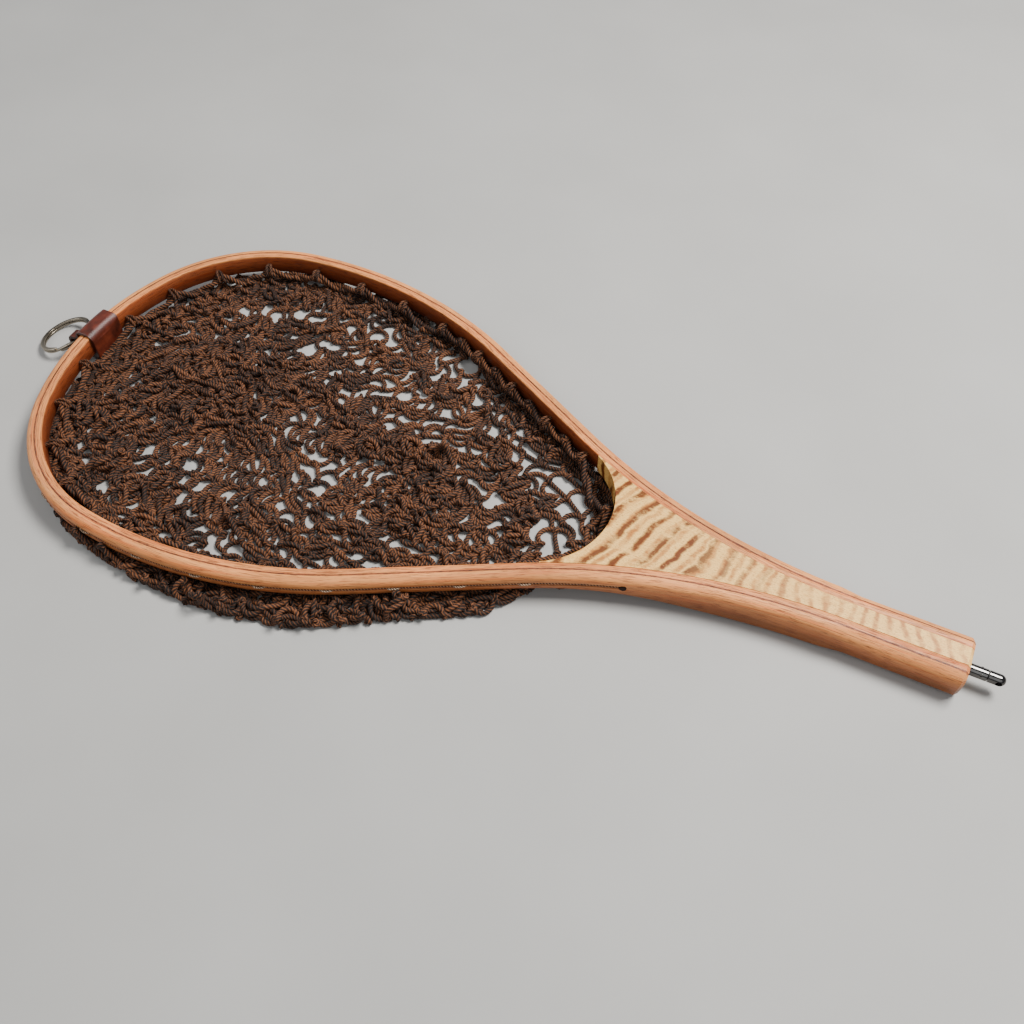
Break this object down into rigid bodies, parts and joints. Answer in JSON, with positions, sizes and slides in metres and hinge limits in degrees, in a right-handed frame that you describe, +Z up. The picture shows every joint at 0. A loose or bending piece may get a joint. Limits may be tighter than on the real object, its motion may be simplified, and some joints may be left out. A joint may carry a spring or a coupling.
{
  "type": "landing net",
  "caption": "Hand-held landing net: bent laminated wooden hoop and handle, knotted cord bag, leather keeper with a split ring, and a swivelling steel lanyard eye.",
  "frame": {"origin": "centre of the overall plan, on the floor that the net lies on", "axes": "+X along the handle from the hoop to the butt, +Z up out of the hoop's mouth, +Y to the left seen from the butt"},
  "size_m": [0.4735, 0.2152, 0.0178],
  "materials": {
    "hoop_wood": "oiled satin, bent laminated strips",
    "dark_veneer": "oiled satin",
    "figured_wood": "lacquered, figured pale wood with brown streaks",
    "lacing": "waxed twisted thread",
    "net_cord": "three-strand twisted cord, waxed",
    "leather": "smooth vegetable-tanned leather",
    "stitching": "waxed thread",
    "ring_steel": "nickel-plated, slightly worn",
    "insert_brass": "turned",
    "dark_steel": "polished dark steel"
  },
  "bodies": {
    "frame": {"hoop_outer_ply": "hoop_wood", "hoop_inner_ply": "hoop_wood", "hoop_middle_ply": "dark_veneer", "handle_core": "figured_wood", "lacing_cord": "lacing", "lacing_loops": "lacing", "lacing_pegs": "dark_veneer", "net_bag": "net_cord", "net_side": "net_cord", "leather_keeper": "leather", "keeper_stitches": "stitching", "butt_insert": "insert_brass", "swivel_barrel": "dark_steel", "swivel_pin": "dark_steel"},
    "split_ring": {"split_ring": "ring_steel"},
    "swivel_eye": {"swivel_eye": "dark_steel"}
  },
  "joints": [
    {"name": "ring_swing", "type": "hinge", "parent": "frame", "child": "split_ring", "pos_m": [-0.21185, -0.0018, 0.0087], "axis": [0, 1, 0], "range_deg": [-60, 100]},
    {"name": "eye_swivel", "type": "hinge", "parent": "frame", "child": "swivel_eye", "pos_m": [0.2298, 0, 0.008], "axis": [1, 0, 0], "continuous": true}
  ]
}
